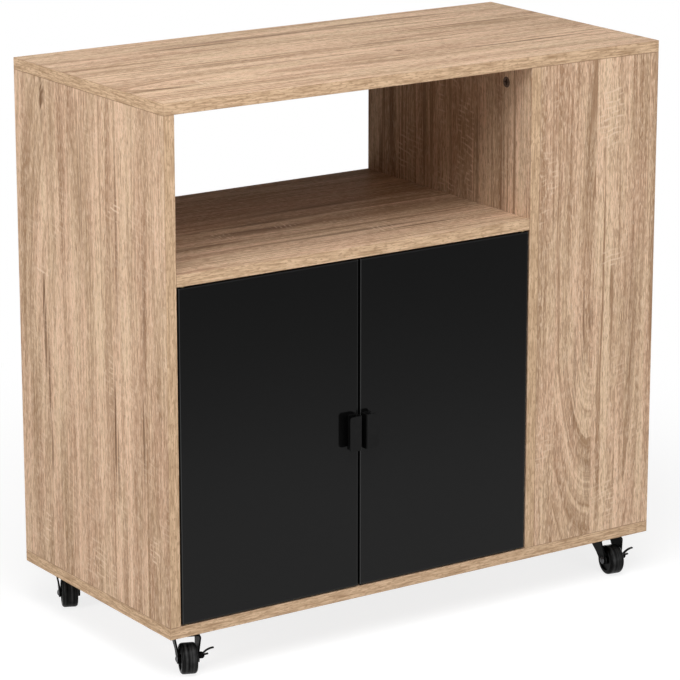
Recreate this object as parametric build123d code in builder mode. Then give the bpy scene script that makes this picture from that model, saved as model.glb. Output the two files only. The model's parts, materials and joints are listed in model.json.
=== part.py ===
from build123d import *
import os
from math import cos, radians, sin

# Kitchen trolley: a board carcass with an open niche, a two-door cabinet, an end
# column of open shelves and four swivel casters. Millimetres, +Z up, front at -Y.
# The origin is on the floor, under the middle of the overall box.

os.makedirs("parts", exist_ok=True)

# Carcass
overall_width = 800.0
panel_depth = 388.0
carcass_height = 714.0
board = 16.0
niche_height = 208.0
column_width = 204.0
edge_round = 0.6

# Cabinet back, held in grooves
back_thickness = 3.0
back_setback = 12.0
groove_depth = 5.0
groove_fit = 0.2

# Loose shelves on spade pins
inner_shelf_height = 228.0
inner_shelf_setback = 70.0
shelf_side_gap = 1.0
shelf_back_gap = 2.0
end_shelf_setback = 2.0
shelf_pin_diameter = 5.0
shelf_pin_seat = 9.0
shelf_pin_inset = 55.0
spade_length = 10.0
spade_width = 8.0
spade_thickness = 3.0
pin_fit = 0.05

# Cam joints: a cam in one board draws a bolt that is screwed into the other
cam_inset = 57.0
cam_setback = 28.0
column_cam_inset = 45.0
cam_diameter = 15.0
cam_slot = 7.4
cam_floor = 0.6
cam_cross_length = 9.0
cam_cross_width = 2.0
cam_cross_depth = 2.4
cam_fit = 0.1
bolt_diameter = 6.6
bolt_neck_diameter = 4.2
bolt_head_length = 3.0
bolt_neck_length = 4.0
bolt_fit = 0.2
thread_diameter = 6.0
thread_length = 10.0
thread_fit = 0.03

# Dowels beside the cam joints
dowel_diameter = 8.0
dowel_in_end = 20.0
dowel_in_face = 10.0
dowel_offset = 32.0
dowel_fit = 0.05

# Doors, inset and flush with the front
door_side_gap = 2.2
door_top_gap = 2.0
door_bottom_gap = 2.0
door_centre_gap = 3.0
door_thickness = 16.0
pivot_inset = 8.0
pivot_setback = 5.5
pivot_pin_diameter = 4.0
pivot_pin_in_door = 14.0
pivot_pin_in_bush = 7.0
pivot_collar_diameter = 7.0
pivot_play = 0.05
bush_wall = 1.2
bush_depth = 8.0
bush_flange_diameter = 9.0
bush_flange_thickness = 1.0
bush_fit = 0.03

# Pulls: a bent plate on each door, beside the meeting edge
pull_height = 48.0
pull_drop = 8.0
pull_projection = 14.0
pull_sheet = 2.0
pull_lip = 20.0
pull_base = 14.0
pull_edge_offset = 2.0
pull_bend = 2.4
pull_corner = 4.0
pull_screw_diameter = 4.0
pull_screw_spacing = 28.0
pull_screw_inset = 9.0
pull_screw_head_diameter = 7.5
pull_screw_head_height = 2.2
pull_screw_fit = 0.05

# Magnetic catches under the middle shelf, and the strike plates on the doors
catch_from_edge = 45.0
catch_block_width = 24.0
catch_width = 46.0
catch_depth = 15.0
catch_height = 16.0
catch_ear_thickness = 3.0
catch_gap = 0.3
magnet_width = 20.0
magnet_depth = 8.0
magnet_height = 9.0
magnet_drop = 10.0
magnet_fit = 0.1
strike_width = 30.0
strike_height = 11.0
strike_thickness = 1.0
small_screw_diameter = 3.0
small_screw_head_diameter = 5.5
small_screw_head_height = 1.6
small_screw_bite = 10.0
small_screw_fit = 0.03

# Casters
caster_inset_x = 45.0
caster_inset_y = 37.0
wheel_diameter = 42.0
wheel_width = 22.0
wheel_shoulder = 4.0
wheel_dish_diameter = 30.0
wheel_dish_depth = 2.5
hub_diameter = 12.0
hub_play = 0.3
axle_diameter = 6.0
axle_head_diameter = 10.0
axle_head_height = 2.4
axle_fit = 0.02
running_fit = 0.05
trail = 17.0
fork_sheet = 2.2
fork_bend = 3.4
fork_side_gap = 1.5
fork_boss_radius = 6.5
fork_front = 17.0
fork_rear = 14.0
fork_skirt = 12.0
fork_upright = 8.0
fork_lean = 4.0
crown_gap = 8.8
swivel_gap = 0.15
bearing_thickness = 2.35
bearing_diameter = 24.0
race_depth = 2.5
race_diameter = 27.0
plate_size = 36.0
plate_thickness = 2.0
plate_corner = 4.0
plate_screw_spacing = 27.0
plate_screw_diameter = 3.6
plate_screw_head_diameter = 7.0
plate_screw_head_height = 2.0
plate_screw_bite = 12.0
kingpin_diameter = 7.0
kingpin_head_diameter = 13.0
kingpin_head_height = 2.6

# Brake levers, beside the right leg of each front fork
lever_rise = 3.0
lever_standoff = 3.5
lever_hub_diameter = 6.0
lever_width = 4.0
lever_play = 0.3
lever_sheet = 1.3
lever_reach = 16.5
lever_lift = 9.5
lever_bow = 2.0
lever_toe_reach = 9.0
lever_toe_lift = 1.5
ear_thickness = 1.5
ear_height = 7.0
brake_pin_diameter = 2.4

# Name, side (-1 left, 1 right), end (-1 front, 1 rear), heading in degrees, braked
casters = (
    ("front_left", -1, -1, 21.5, True),
    ("front_right", 1, -1, 9.5, True),
    ("rear_left", -1, 1, 24.5, False),
    ("rear_right", 1, 1, 15.0, False),
)

# Heights of the caster's layers, from the floor up
wheel_radius = wheel_diameter / 2
crown_under = wheel_diameter + crown_gap
crown_top = crown_under + fork_sheet
bearing_under = crown_top + swivel_gap
bearing_top = bearing_under + bearing_thickness
plate_under = bearing_top + race_depth
caster_height = plate_under + plate_thickness

# Places of the boards
x_left = -overall_width / 2
x_right = overall_width / 2
x_side_in = x_left + board
x_divider_right = x_right - column_width
x_divider_left = x_divider_right - board
y_front = (pull_projection - panel_depth) / 2
y_back = y_front + panel_depth
z_base = caster_height
z_cabinet_floor = z_base + board
z_top = z_base + carcass_height
z_top_under = z_top - board
z_shelf_top = z_top_under - niche_height
z_shelf_under = z_shelf_top - board
y_groove = y_back - back_setback - back_thickness - groove_fit

UP = Vector(0, 0, 1)
RIGHT = Vector(1, 0, 0)
REAR = Vector(0, 1, 0)
ALONG = (Align.CENTER, Align.CENTER, Align.MIN)


def slab(low, high, mode=Mode.ADD):
    """A box between two opposite corners."""
    size = [top - bottom for bottom, top in zip(low, high)]
    with Locations(tuple(low)):
        Box(*size, align=(Align.MIN, Align.MIN, Align.MIN), mode=mode)


def rod(points, direction, radius, length, mode=Mode.ADD):
    """A round bar that starts at each point and runs along the direction."""
    with Locations(*[Plane(origin=point, z_dir=direction) for point in points]):
        Cylinder(radius, length, align=ALONG, mode=mode)


def drill(points, direction, radius, depth):
    """A round hole that starts at each point and runs along the direction."""
    rod(points, direction, radius, depth, mode=Mode.SUBTRACT)


# Cam joints: owner board, mating board, point on the owner's face over the cam's
# middle, direction into the owner, direction towards the mating board
bolt_ends = (("top_panel", z_top_under, 1), ("bottom_panel", z_cabinet_floor, -1))
upright_faces = (("left_side_panel", x_side_in, -1), ("divider_panel", x_divider_left, 1))
column_faces = (("column_front_panel", y_front + board, -1), ("column_rear_panel", y_back - board, 1))
cam_rows = (y_front + cam_inset, y_back - cam_inset)
cam_columns = (x_divider_right + column_cam_inset, x_right - column_cam_inset)
cam_joints = []
for y in cam_rows:
    for owner, x, into in upright_faces:
        for mate, z_end, rise in bolt_ends:
            face = Vector(x, y, z_end - rise * cam_setback)
            cam_joints.append((owner, mate, face, RIGHT * into, UP * rise))
        face = Vector(x - into * cam_setback, y, z_shelf_under)
        cam_joints.append(("middle_shelf", owner, face, UP, RIGHT * into))
for x in cam_columns:
    for owner, y, into in column_faces:
        for mate, z_end, rise in bolt_ends:
            face = Vector(x, y, z_end - rise * cam_setback)
            cam_joints.append((owner, mate, face, REAR * into, UP * rise))

# Dowels: owner board, mating board, point on the joint plane, direction to the mate
dowel_rows = (cam_rows[0] + dowel_offset, cam_rows[1] - dowel_offset)
dowels = []
for y in dowel_rows:
    for owner, x, into in upright_faces:
        for mate, z_end, rise in bolt_ends:
            dowels.append((owner, mate, Vector(x + into * board / 2, y, z_end), UP * rise))
        dowels.append(("middle_shelf", owner, Vector(x, y, z_shelf_under + board / 2), RIGHT * into))
for owner, y, into in column_faces:
    for mate, z_end, rise in bolt_ends:
        x = (x_divider_right + x_right) / 2
        dowels.append((owner, mate, Vector(x, y + into * board / 2, z_end), UP * rise))

cam_radius = cam_diameter / 2
cam_depth = board / 2 + cam_slot / 2 + cam_floor


def bolt_end(face, into, toward):
    """Point where a cam joint's bolt crosses from one board to the other."""
    return face + into * (board / 2) + toward * cam_setback


def bore_joints(panel):
    """Cut a board's cam pockets, bolt bores and dowel holes."""
    for owner, mate, face, into, toward in cam_joints:
        crossing = bolt_end(face, into, toward)
        if owner == panel:
            drill([face], into, cam_radius + cam_fit, cam_depth + cam_fit)
            drill([crossing], -toward, bolt_diameter / 2 + bolt_fit, cam_setback)
        if mate == panel:
            drill([crossing], toward, thread_diameter / 2 + thread_fit, thread_length + thread_fit)
    for owner, mate, crossing, toward in dowels:
        if owner == panel:
            drill([crossing], -toward, dowel_diameter / 2 + dowel_fit, dowel_in_end + dowel_fit)
        if mate == panel:
            drill([crossing], toward, dowel_diameter / 2 + dowel_fit, dowel_in_face + dowel_fit)


# Shelf pins: point on the upright face at the pin's axis, direction into the board
end_clear = (z_top_under - z_cabinet_floor - 2 * board) / 3
end_shelf_levels = (z_cabinet_floor + end_clear, z_cabinet_floor + 2 * end_clear + board)
z_inner_shelf = z_cabinet_floor + inner_shelf_height
y_inner_front = y_front + inner_shelf_setback
y_inner_back = y_groove - shelf_back_gap
shelf_pins = []
for y in (y_inner_front + shelf_pin_inset, y_inner_back - shelf_pin_inset):
    for panel, x, into in upright_faces:
        shelf_pins.append((panel, Vector(x, y, z_inner_shelf), RIGHT * into))
for level in end_shelf_levels:
    for x in cam_columns:
        for panel, y, into in column_faces:
            shelf_pins.append((panel, Vector(x, y, level), REAR * into))


def bore_shelf_pins(panel):
    """Cut a board's holes for shelf pins."""
    radius = shelf_pin_diameter / 2
    for owner, seat, into in shelf_pins:
        if owner == panel:
            drill([seat - UP * radius], into, radius + pin_fit, shelf_pin_seat + pin_fit)


# Doors: name, hinge side, hinge edge and free edge
x_gap_centre = (x_side_in + x_divider_left) / 2
doors = (
    ("left", -1, x_side_in + door_side_gap, x_gap_centre - door_centre_gap / 2),
    ("right", 1, x_divider_left - door_side_gap, x_gap_centre + door_centre_gap / 2),
)
z_door_low = z_cabinet_floor + door_bottom_gap
z_door_high = z_shelf_under - door_top_gap
y_door_back = y_front + door_thickness
y_pivot = y_front + pivot_setback
pivot_xs = [hinge_edge - side * pivot_inset for name, side, hinge_edge, free_edge in doors]
bush_radius = pivot_pin_diameter / 2 + running_fit + bush_wall


def bore_bushes(z, direction):
    """Cut the holes for the pivot bushes in the cabinet's floor or ceiling."""
    seats = [Vector(x, y_pivot, z) for x in pivot_xs]
    drill(seats, direction, bush_radius + bush_fit, bush_depth + bush_fit)


# Casters: a plane at each swivel axis, with x along the axle and y along the heading
def caster_plane(side, end, heading):
    """Floor plane of a caster, turned to its heading."""
    x = side * (overall_width / 2 - caster_inset_x)
    y = y_front + caster_inset_y if end < 0 else y_back - caster_inset_y
    turn = radians(heading)
    return Plane(origin=(x, y, 0), x_dir=(cos(turn), -sin(turn), 0), z_dir=(0, 0, 1))


def across(base, along_axle):
    """Upright plane square to the axle; its x is the heading and its y is up."""
    origin = base.from_local_coords((along_axle, 0, 0))
    return Plane(origin=origin, x_dir=base.y_dir, z_dir=base.x_dir)


def facing(base, along_heading):
    """Upright plane that faces against the heading; its x is the axle and its y is up."""
    origin = base.from_local_coords((0, along_heading, 0))
    return Plane(origin=origin, x_dir=base.x_dir, z_dir=-base.y_dir)


def spot(base, along_axle, along_heading, height):
    """Point given in a caster's own directions."""
    return base.from_local_coords((along_axle, along_heading, height))


caster_planes = [caster_plane(side, end, heading) for name, side, end, heading, braked in casters]
swivel_planes = [Plane(origin=plane.origin) for plane in caster_planes]
half_spacing = plate_screw_spacing / 2
plate_corners = [(dx * half_spacing, dy * half_spacing) for dx in (-1, 1) for dy in (-1, 1)]
plate_screws = [
    spot(plane, dx, dy, plate_under) for plane in swivel_planes for dx, dy in plate_corners
]

# Boards of the carcass
with BuildPart() as top_panel:
    slab((x_left, y_front, z_top_under), (x_right, y_back, z_top))
    fillet(top_panel.edges(), edge_round)
    bore_joints("top_panel")
top_panel.part.label = "top_panel"
export_step(top_panel.part, "parts/top_panel.step")

with BuildPart() as bottom_panel:
    slab((x_left, y_front, z_base), (x_right, y_back, z_cabinet_floor))
    fillet(bottom_panel.edges(), edge_round)
    bore_joints("bottom_panel")
    slab(
        (x_side_in - groove_depth, y_groove, z_cabinet_floor - groove_depth),
        (x_divider_left + groove_depth, y_back - back_setback, z_cabinet_floor),
        mode=Mode.SUBTRACT,
    )
    bore_bushes(z_cabinet_floor, -UP)
    drill(
        [point + UP * plate_thickness for point in plate_screws],
        UP,
        plate_screw_diameter / 2 + small_screw_fit,
        plate_screw_bite + small_screw_fit,
    )
bottom_panel.part.label = "bottom_panel"
export_step(bottom_panel.part, "parts/bottom_panel.step")

with BuildPart() as left_side_panel:
    slab((x_left, y_front, z_cabinet_floor), (x_side_in, y_back, z_top_under))
    fillet(left_side_panel.edges(), edge_round)
    bore_joints("left_side_panel")
    bore_shelf_pins("left_side_panel")
    slab(
        (x_side_in - groove_depth, y_groove, z_cabinet_floor),
        (x_side_in, y_back - back_setback, z_shelf_under + groove_depth),
        mode=Mode.SUBTRACT,
    )
left_side_panel.part.label = "left_side_panel"
export_step(left_side_panel.part, "parts/left_side_panel.step")

with BuildPart() as divider_panel:
    slab((x_divider_left, y_front, z_cabinet_floor), (x_divider_right, y_back, z_top_under))
    fillet(divider_panel.edges(), edge_round)
    bore_joints("divider_panel")
    bore_shelf_pins("divider_panel")
    slab(
        (x_divider_left, y_groove, z_cabinet_floor),
        (x_divider_left + groove_depth, y_back - back_setback, z_shelf_under + groove_depth),
        mode=Mode.SUBTRACT,
    )
divider_panel.part.label = "divider_panel"
export_step(divider_panel.part, "parts/divider_panel.step")

catch_xs = [free_edge + side * catch_from_edge for name, side, hinge_edge, free_edge in doors]
y_catch = y_door_back + strike_thickness + catch_gap
ear_screw_offset = (catch_block_width + catch_width) / 4
catch_screw_seats = [
    Vector(x + dx * ear_screw_offset, y_catch + catch_depth / 2, z_shelf_under - catch_ear_thickness)
    for x in catch_xs
    for dx in (-1, 1)
]

with BuildPart() as middle_shelf:
    slab((x_side_in, y_front, z_shelf_under), (x_divider_left, y_back, z_shelf_top))
    fillet(middle_shelf.edges(), edge_round)
    bore_joints("middle_shelf")
    slab(
        (x_side_in, y_groove, z_shelf_under),
        (x_divider_left, y_back - back_setback, z_shelf_under + groove_depth),
        mode=Mode.SUBTRACT,
    )
    bore_bushes(z_shelf_under, UP)
    drill(
        [seat + UP * catch_ear_thickness for seat in catch_screw_seats],
        UP,
        small_screw_diameter / 2 + small_screw_fit,
        small_screw_bite + small_screw_fit,
    )
middle_shelf.part.label = "middle_shelf"
export_step(middle_shelf.part, "parts/middle_shelf.step")

with BuildPart() as column_front_panel:
    slab((x_divider_right, y_front, z_cabinet_floor), (x_right, y_front + board, z_top_under))
    fillet(column_front_panel.edges(), edge_round)
    bore_joints("column_front_panel")
    bore_shelf_pins("column_front_panel")
column_front_panel.part.label = "column_front_panel"
export_step(column_front_panel.part, "parts/column_front_panel.step")

with BuildPart() as column_rear_panel:
    slab((x_divider_right, y_back - board, z_cabinet_floor), (x_right, y_back, z_top_under))
    fillet(column_rear_panel.edges(), edge_round)
    bore_joints("column_rear_panel")
    bore_shelf_pins("column_rear_panel")
column_rear_panel.part.label = "column_rear_panel"
export_step(column_rear_panel.part, "parts/column_rear_panel.step")

with BuildPart() as cabinet_back_panel:
    tongue = groove_depth - groove_fit
    slab(
        (x_side_in - tongue, y_groove + groove_fit / 2, z_cabinet_floor - tongue),
        (x_divider_left + tongue, y_groove + groove_fit / 2 + back_thickness, z_shelf_under + tongue),
    )
cabinet_back_panel.part.label = "cabinet_back_panel"
export_step(cabinet_back_panel.part, "parts/cabinet_back_panel.step")

# Loose shelves
with BuildPart() as inner_shelf:
    slab(
        (x_side_in + shelf_side_gap, y_inner_front, z_inner_shelf),
        (x_divider_left - shelf_side_gap, y_inner_back, z_inner_shelf + board),
    )
    fillet(inner_shelf.edges(), edge_round)
inner_shelf.part.label = "inner_shelf"
export_step(inner_shelf.part, "parts/inner_shelf.step")

for name, level in zip(("end_shelf_lower", "end_shelf_upper"), end_shelf_levels):
    with BuildPart() as end_shelf:
        slab(
            (x_divider_right + shelf_side_gap, y_front + board + shelf_side_gap, level),
            (x_right - end_shelf_setback, y_back - board - shelf_side_gap, level + board),
        )
        fillet(end_shelf.edges(), edge_round)
    end_shelf.part.label = name
    export_step(end_shelf.part, f"parts/{name}.step")

# Fasteners of the boards, each kind as one group of separate solids
with BuildPart() as cam_locks:
    for owner, mate, face, into, toward in cam_joints:
        rod([face], into, cam_radius, cam_depth)
        with Locations(Plane(origin=face, x_dir=toward, z_dir=into)):
            Box(cam_cross_length, cam_cross_width, 2 * cam_cross_depth, mode=Mode.SUBTRACT)
            Box(cam_cross_width, cam_cross_length, 2 * cam_cross_depth, mode=Mode.SUBTRACT)
        middle = face + into * (board / 2)
        with Locations(Plane(origin=middle, x_dir=toward, z_dir=into)):
            slot_align = (Align.MIN, Align.CENTER, Align.CENTER)
            with Locations((-cam_slot / 2, 0, 0)):
                Box(cam_diameter, cam_slot, cam_slot, align=slot_align, mode=Mode.SUBTRACT)
cam_locks.part.label = "cam_locks"
export_step(cam_locks.part, "parts/cam_locks.step")

with BuildPart() as cam_bolts:
    for owner, mate, face, into, toward in cam_joints:
        crossing = bolt_end(face, into, toward)
        head = crossing - toward * cam_setback
        neck = head + toward * bolt_head_length
        shank = neck + toward * bolt_neck_length
        shank_length = cam_setback - bolt_head_length - bolt_neck_length
        rod([head], toward, bolt_diameter / 2, bolt_head_length)
        rod([neck], toward, bolt_neck_diameter / 2, bolt_neck_length)
        rod([shank], toward, bolt_diameter / 2, shank_length)
        rod([crossing], toward, thread_diameter / 2, thread_length)
cam_bolts.part.label = "cam_bolts"
export_step(cam_bolts.part, "parts/cam_bolts.step")

with BuildPart() as wood_dowels:
    for owner, mate, crossing, toward in dowels:
        rod([crossing - toward * dowel_in_end], toward, dowel_diameter / 2, dowel_in_end + dowel_in_face)
wood_dowels.part.label = "wood_dowels"
export_step(wood_dowels.part, "parts/wood_dowels.step")

with BuildPart() as spade_pins:
    for panel, seat, into in shelf_pins:
        axis_point = seat - UP * (shelf_pin_diameter / 2)
        rod([axis_point], into, shelf_pin_diameter / 2, shelf_pin_seat)
        with Locations(Plane(origin=seat, x_dir=-into, z_dir=UP)):
            spade_align = (Align.MIN, Align.CENTER, Align.MAX)
            Box(spade_length, spade_width, spade_thickness, align=spade_align)
spade_pins.part.label = "shelf_pins"
export_step(spade_pins.part, "parts/shelf_pins.step")

# Pivot bushes: the flange sits on the board, in the gap above or below the door
pivot_seats = [(z_cabinet_floor, UP, z_door_low), (z_shelf_under, -UP, z_door_high)]
pin_radius = pivot_pin_diameter / 2
with BuildPart() as pivot_bushes:
    for z, outward, door_edge in pivot_seats:
        seats = [Vector(x, y_pivot, z) for x in pivot_xs]
        rod(seats, -outward, bush_radius, bush_depth)
        rod(seats, outward, bush_flange_diameter / 2, bush_flange_thickness)
        rims = [seat + outward * bush_flange_thickness for seat in seats]
        drill(rims, -outward, pin_radius + running_fit, bush_depth + bush_flange_thickness)
pivot_bushes.part.label = "pivot_bushes"
export_step(pivot_bushes.part, "parts/pivot_bushes.step")

# Magnetic catches
with BuildPart() as door_catches:
    for x in catch_xs:
        half = catch_block_width / 2
        slab(
            (x - half, y_catch, z_shelf_under - catch_height),
            (x + half, y_catch + catch_depth, z_shelf_under),
        )
        slab(
            (x - catch_width / 2, y_catch, z_shelf_under - catch_ear_thickness),
            (x + catch_width / 2, y_catch + catch_depth, z_shelf_under),
        )
        with Locations((x, y_catch, z_shelf_under - magnet_drop)):
            Box(
                magnet_width + 2 * magnet_fit,
                magnet_depth + magnet_fit,
                magnet_height + 2 * magnet_fit,
                align=(Align.CENTER, Align.MIN, Align.CENTER),
                mode=Mode.SUBTRACT,
            )
    drill(
        catch_screw_seats,
        UP,
        small_screw_diameter / 2 + small_screw_fit,
        catch_ear_thickness,
    )
door_catches.part.label = "door_catches"
export_step(door_catches.part, "parts/door_catches.step")

with BuildPart() as catch_magnets:
    for x in catch_xs:
        with Locations((x, y_catch, z_shelf_under - magnet_drop)):
            Box(
                magnet_width,
                magnet_depth,
                magnet_height,
                align=(Align.CENTER, Align.MIN, Align.CENTER),
            )
catch_magnets.part.label = "catch_magnets"
export_step(catch_magnets.part, "parts/catch_magnets.step")


def small_screws(seats, direction, grip):
    """Pan-head screws whose heads sit at the seats and which run along the direction."""
    rod(seats, direction, small_screw_diameter / 2, grip + small_screw_bite)
    rod(seats, -direction, small_screw_head_diameter / 2, small_screw_head_height)


with BuildPart() as catch_screws:
    small_screws(catch_screw_seats, UP, catch_ear_thickness)
catch_screws.part.label = "catch_screws"
export_step(catch_screws.part, "parts/catch_screws.step")

# Doors with their pulls, pivot pins and strike plates
z_pull = (z_door_low + z_door_high) / 2 - pull_drop
pull_screw_zs = (z_pull - pull_screw_spacing / 2, z_pull + pull_screw_spacing / 2)
y_pull_front = y_front - pull_projection
for name, side, hinge_edge, free_edge in doors:
    x_pivot = hinge_edge - side * pivot_inset
    x_web = free_edge + side * pull_edge_offset
    x_pull_screw = x_web + side * pull_screw_inset
    x_catch = free_edge + side * catch_from_edge
    strike_seat = Vector(x_catch, y_door_back + strike_thickness, z_shelf_under - magnet_drop)

    with BuildPart() as door:
        slab(
            (min(hinge_edge, free_edge), y_front, z_door_low),
            (max(hinge_edge, free_edge), y_door_back, z_door_high),
        )
        fillet(door.edges(), edge_round)
        for z, outward, door_edge in pivot_seats:
            entry = Vector(x_pivot, y_pivot, door_edge)
            drill([entry], outward, pin_radius + pin_fit, pivot_pin_in_door + pin_fit)
        drill(
            [Vector(x_pull_screw, y_front, z) for z in pull_screw_zs],
            REAR,
            pull_screw_diameter / 2 + pull_screw_fit,
            door_thickness,
        )
        drill(
            [strike_seat - REAR * strike_thickness],
            -REAR,
            small_screw_diameter / 2 + small_screw_fit,
            small_screw_bite + small_screw_fit,
        )
    door.part.label = f"{name}_door_panel"
    export_step(door.part, f"parts/{name}_door_panel.step")

    with BuildPart() as pull:
        with BuildSketch(Plane.XY.offset(z_pull - pull_height / 2)):
            with BuildLine():
                half_sheet = pull_sheet / 2
                x_middle = x_web + side * half_sheet
                FilletPolyline(
                    (x_web + side * pull_base, y_front - half_sheet),
                    (x_middle, y_front - half_sheet),
                    (x_middle, y_pull_front + half_sheet),
                    (x_web + side * pull_lip, y_pull_front + half_sheet),
                    radius=pull_bend,
                )
            trace(line_width=pull_sheet)
        extrude(amount=pull_height)
        outer_end = pull.edges().filter_by(Axis.Y).group_by(Axis.X)
        fillet(outer_end[-1] if side > 0 else outer_end[0], pull_corner)
        drill(
            [Vector(x_pull_screw, y_front - pull_sheet, z) for z in pull_screw_zs],
            REAR,
            pull_screw_diameter / 2 + pin_fit,
            pull_sheet,
        )
    pull.part.label = f"{name}_pull"
    export_step(pull.part, f"parts/{name}_pull.step")

    with BuildPart() as pull_screws:
        heads = [Vector(x_pull_screw, y_door_back, z) for z in pull_screw_zs]
        rod(heads, -REAR, pull_screw_diameter / 2, door_thickness + pull_sheet)
        rod(heads, REAR, pull_screw_head_diameter / 2, pull_screw_head_height)
    pull_screws.part.label = f"{name}_pull_screws"
    export_step(pull_screws.part, f"parts/{name}_pull_screws.step")

    with BuildPart() as pivot_pins:
        for z, outward, door_edge in pivot_seats:
            flange_face = Vector(x_pivot, y_pivot, z) + outward * bush_flange_thickness
            collar_start = flange_face + outward * pivot_play
            collar_end = Vector(x_pivot, y_pivot, door_edge)
            tip = flange_face - outward * pivot_pin_in_bush
            pin_length = (collar_end - tip).length + pivot_pin_in_door
            rod([tip], outward, pin_radius, pin_length)
            rod([collar_start], outward, pivot_collar_diameter / 2, (collar_end - collar_start).length)
    pivot_pins.part.label = f"{name}_pivot_pins"
    export_step(pivot_pins.part, f"parts/{name}_pivot_pins.step")

    with BuildPart() as strike_plate:
        slab(
            strike_seat - Vector(strike_width / 2, strike_thickness, strike_height / 2),
            strike_seat + Vector(strike_width / 2, 0, strike_height / 2),
        )
        drill([strike_seat], -REAR, small_screw_head_diameter / 2 + pin_fit, strike_thickness)
    strike_plate.part.label = f"{name}_strike_plate"
    export_step(strike_plate.part, f"parts/{name}_strike_plate.step")

    with BuildPart() as strike_screw:
        rod([strike_seat], -REAR, small_screw_head_diameter / 2, strike_thickness)
        rod([strike_seat - REAR * strike_thickness], -REAR, small_screw_diameter / 2, small_screw_bite)
    strike_screw.part.label = f"{name}_strike_screw"
    export_step(strike_screw.part, f"parts/{name}_strike_screw.step")

# Casters: what is fixed to the carcass
for (name, side, end, heading, braked), plane in zip(casters, swivel_planes):
    with BuildPart() as caster_plate:
        with BuildSketch(plane.offset(plate_under)):
            RectangleRounded(plate_size, plate_size, plate_corner)
            with Locations(*plate_corners):
                Circle(plate_screw_diameter / 2 + bolt_fit, mode=Mode.SUBTRACT)
        extrude(amount=plate_thickness)
        with BuildSketch(plane.offset(bearing_top)):
            Circle(race_diameter / 2)
        extrude(amount=race_depth)
        drill(
            [spot(plane, 0, 0, bearing_top)],
            UP,
            kingpin_diameter / 2 + pin_fit,
            race_depth + plate_thickness,
        )
    caster_plate.part.label = f"{name}_caster_plate"
    export_step(caster_plate.part, f"parts/{name}_caster_plate.step")

with BuildPart() as kingpins:
    head_top = crown_under - swivel_gap
    heads = [spot(plane, 0, 0, head_top) for plane in swivel_planes]
    rod(heads, -UP, kingpin_head_diameter / 2, kingpin_head_height)
    rod(heads, UP, kingpin_diameter / 2, caster_height - head_top)
kingpins.part.label = "caster_kingpins"
export_step(kingpins.part, "parts/caster_kingpins.step")

with BuildPart() as swivel_bearings:
    seats = [spot(plane, 0, 0, bearing_under) for plane in swivel_planes]
    rod(seats, UP, bearing_diameter / 2, bearing_thickness)
    drill(seats, UP, kingpin_diameter / 2 + running_fit, bearing_thickness)
swivel_bearings.part.label = "swivel_bearings"
export_step(swivel_bearings.part, "parts/swivel_bearings.step")

with BuildPart() as caster_screws:
    rod(plate_screws, UP, plate_screw_diameter / 2, plate_thickness + plate_screw_bite)
    rod(plate_screws, -UP, plate_screw_head_diameter / 2, plate_screw_head_height)
caster_screws.part.label = "caster_screws"
export_step(caster_screws.part, "parts/caster_screws.step")

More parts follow.
